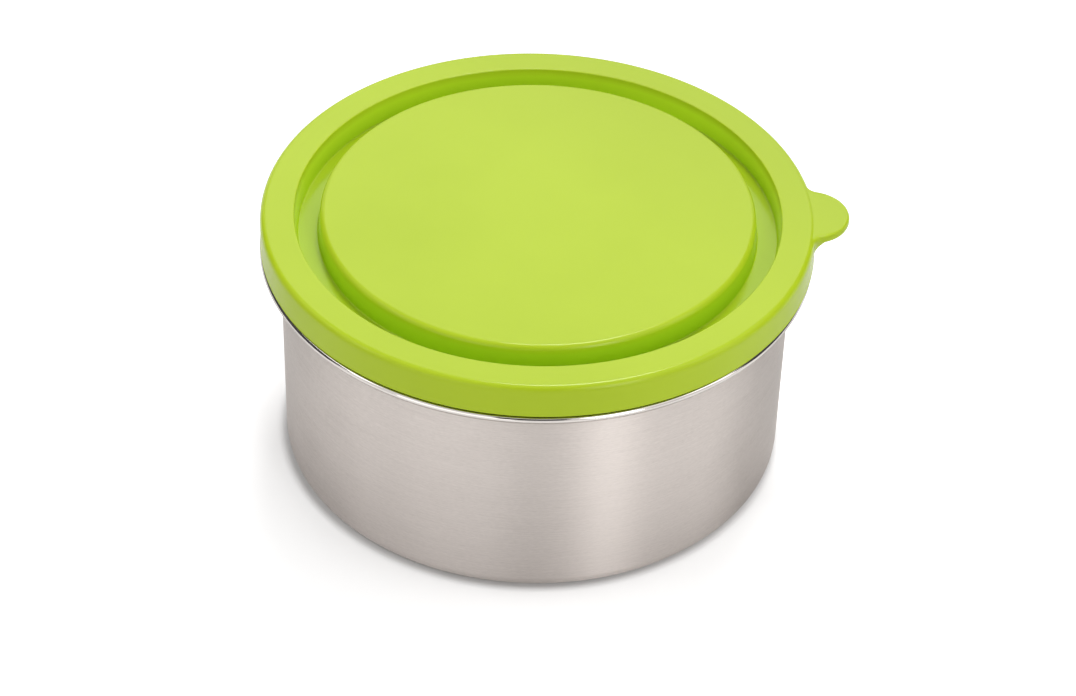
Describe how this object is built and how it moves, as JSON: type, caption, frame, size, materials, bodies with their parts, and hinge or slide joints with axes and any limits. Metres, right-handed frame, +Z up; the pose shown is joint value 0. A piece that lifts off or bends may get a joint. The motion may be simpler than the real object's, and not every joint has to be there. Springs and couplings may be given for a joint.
{
  "type": "round food container",
  "caption": "Round brushed-steel food container with a soft press-on lid that has a groove round its flat crown and a half-round pull tab for peeling it off.",
  "frame": {"origin": "centre of the container's flat base, on the surface it stands on", "axes": "+Z up along the turning axis, +X towards the pull tab"},
  "size_m": [0.1485, 0.1402, 0.0706],
  "materials": {
    "steel": "bare stainless steel, brushed round the axis, with a polished rim bead",
    "lid_plastic": "soft lime-green moulded polyethylene with a satin surface"
  },
  "bodies": {
    "container": {"container": "steel"},
    "lid": {"lid": "lid_plastic"},
    "pull_tab": {"pull_tab": "lid_plastic"}
  },
  "joints": [
    {"name": "lid_lift", "type": "slide", "parent": "container", "child": "lid", "axis": [0, 0, 1], "range_m": [0, 0.12]},
    {"name": "tab_flex", "type": "hinge", "parent": "lid", "child": "pull_tab", "pos_m": [0.07244, 0, 0.069], "axis": [0, -1, 0], "range_deg": [-20, 60], "stiffness_Nm_per_rad": 0.1}
  ]
}
